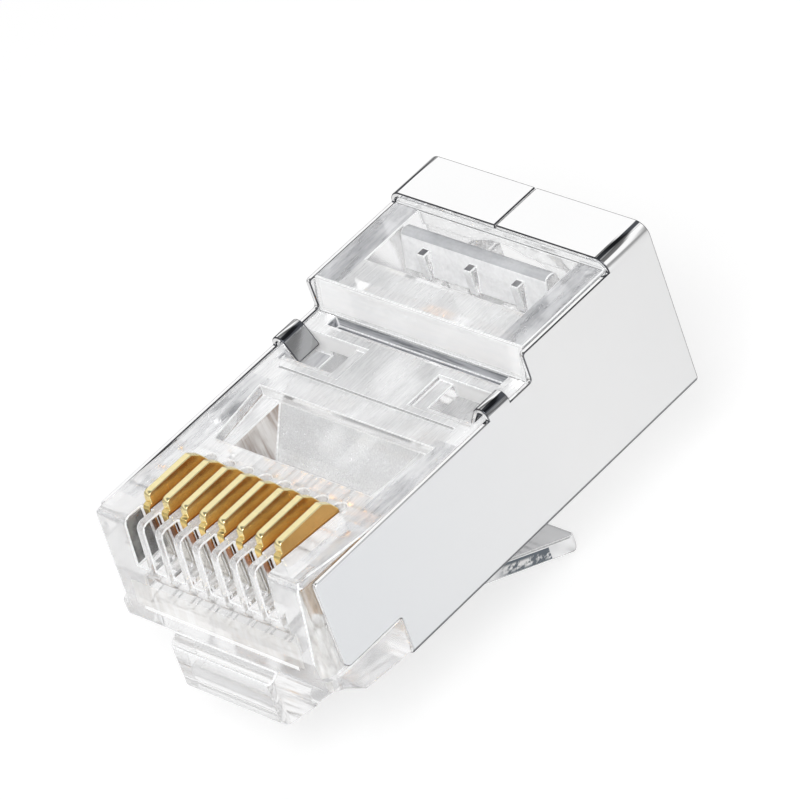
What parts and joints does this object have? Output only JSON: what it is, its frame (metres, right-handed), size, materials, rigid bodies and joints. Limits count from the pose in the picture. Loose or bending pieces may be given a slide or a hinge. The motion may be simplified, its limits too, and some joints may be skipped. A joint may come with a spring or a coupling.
{
  "type": "modular plug",
  "caption": "Shielded modular plug with a clear nose, gilt contact blades standing proud, a bent metal shield and a release lever, ready to be crimped onto a cable.",
  "frame": {"origin": "middle of the nose's front edge, level with the underside of the shield", "axes": "-Y leaves the nose into the jack, +Y follows the cable out, +Z is the contact side, -Z the latch side"},
  "size_m": [0.0118, 0.0219, 0.0142],
  "materials": {
    "clear_plastic": "clear polycarbonate, polished, very slightly cool",
    "shield_metal": "bright nickel plate on thin sheet",
    "contact_metal": "gold plate on stamped copper alloy"
  },
  "bodies": {
    "plug_body": {"housing": "clear_plastic", "shield": "shield_metal"},
    "lever": {"latch_lever": "clear_plastic"},
    "clamp_bar": {"strain_relief_bar": "clear_plastic"},
    "blade_1": {"contact_1": "contact_metal"},
    "blade_2": {"contact_2": "contact_metal"},
    "blade_3": {"contact_3": "contact_metal"},
    "blade_4": {"contact_4": "contact_metal"},
    "blade_5": {"contact_5": "contact_metal"},
    "blade_6": {"contact_6": "contact_metal"},
    "blade_7": {"contact_7": "contact_metal"},
    "blade_8": {"contact_8": "contact_metal"}
  },
  "joints": [
    {"name": "lever_press", "type": "hinge", "parent": "plug_body", "child": "lever", "pos_m": [0, 0.00145, -0.00082], "axis": [1, 0, 0], "range_deg": [0, 8.5], "stiffness_Nm_per_rad": 0.2},
    {"name": "clamp_bar_press", "type": "hinge", "parent": "plug_body", "child": "clamp_bar", "pos_m": [0, 0.01875, 0.0062], "axis": [1, 0, 0], "range_deg": [0, 30]},
    {"name": "blade_1_crimp", "type": "slide", "parent": "plug_body", "child": "blade_1", "axis": [0, 0, -1], "range_m": [0, 0.00095]},
    {"name": "blade_2_crimp", "type": "slide", "parent": "plug_body", "child": "blade_2", "axis": [0, 0, -1], "range_m": [0, 0.00095]},
    {"name": "blade_3_crimp", "type": "slide", "parent": "plug_body", "child": "blade_3", "axis": [0, 0, -1], "range_m": [0, 0.00095]},
    {"name": "blade_4_crimp", "type": "slide", "parent": "plug_body", "child": "blade_4", "axis": [0, 0, -1], "range_m": [0, 0.00095]},
    {"name": "blade_5_crimp", "type": "slide", "parent": "plug_body", "child": "blade_5", "axis": [0, 0, -1], "range_m": [0, 0.00095]},
    {"name": "blade_6_crimp", "type": "slide", "parent": "plug_body", "child": "blade_6", "axis": [0, 0, -1], "range_m": [0, 0.00095]},
    {"name": "blade_7_crimp", "type": "slide", "parent": "plug_body", "child": "blade_7", "axis": [0, 0, -1], "range_m": [0, 0.00095]},
    {"name": "blade_8_crimp", "type": "slide", "parent": "plug_body", "child": "blade_8", "axis": [0, 0, -1], "range_m": [0, 0.00095]}
  ],
  "couplings": [
    {"joint": "blade_2_crimp", "follows": "blade_1_crimp", "ratio": 1},
    {"joint": "blade_3_crimp", "follows": "blade_1_crimp", "ratio": 1},
    {"joint": "blade_4_crimp", "follows": "blade_1_crimp", "ratio": 1},
    {"joint": "blade_5_crimp", "follows": "blade_1_crimp", "ratio": 1},
    {"joint": "blade_6_crimp", "follows": "blade_1_crimp", "ratio": 1},
    {"joint": "blade_7_crimp", "follows": "blade_1_crimp", "ratio": 1},
    {"joint": "blade_8_crimp", "follows": "blade_1_crimp", "ratio": 1}
  ]
}
